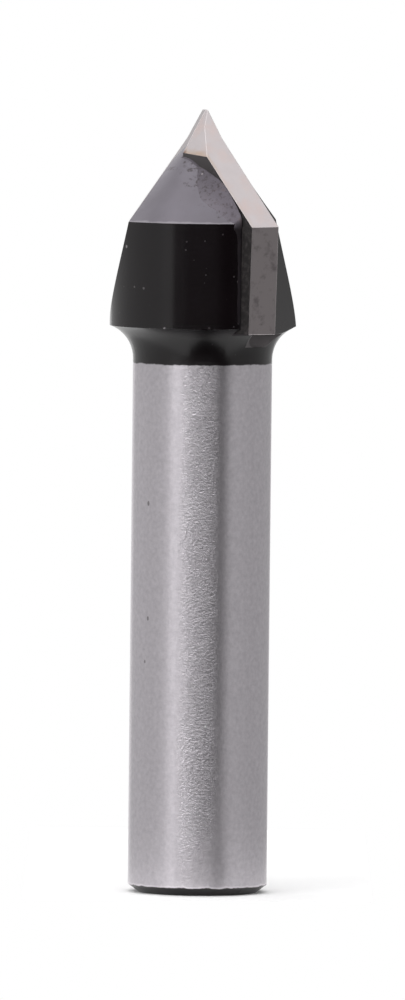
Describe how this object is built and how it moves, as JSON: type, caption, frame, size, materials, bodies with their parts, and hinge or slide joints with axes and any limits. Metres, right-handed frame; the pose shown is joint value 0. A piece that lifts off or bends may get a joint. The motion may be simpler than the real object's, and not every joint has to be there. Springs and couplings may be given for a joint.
{
  "type": "v-groove router bit",
  "caption": "Router bit with a plain round shank, filleted neck and black head carrying two brazed carbide blades ground to a right-angled V point.",
  "frame": {"origin": "centre of the shank's end face", "axes": "+Z along the axis from the shank's end face to the point; blade 1 lies along +X with its rake face toward +Y"},
  "size_m": [0.0126, 0.0108, 0.045],
  "materials": {
    "steel": "centreless-ground shank; head, neck and end chamfer blackened; cone ground bare",
    "carbide": "fine-ground tungsten carbide",
    "braze": "silver braze, heat-tinted"
  },
  "bodies": {
    "root": {"body": "steel", "blade_1": "carbide", "blade_2": "carbide", "braze_1": "braze", "braze_2": "braze"}
  },
  "joints": []
}
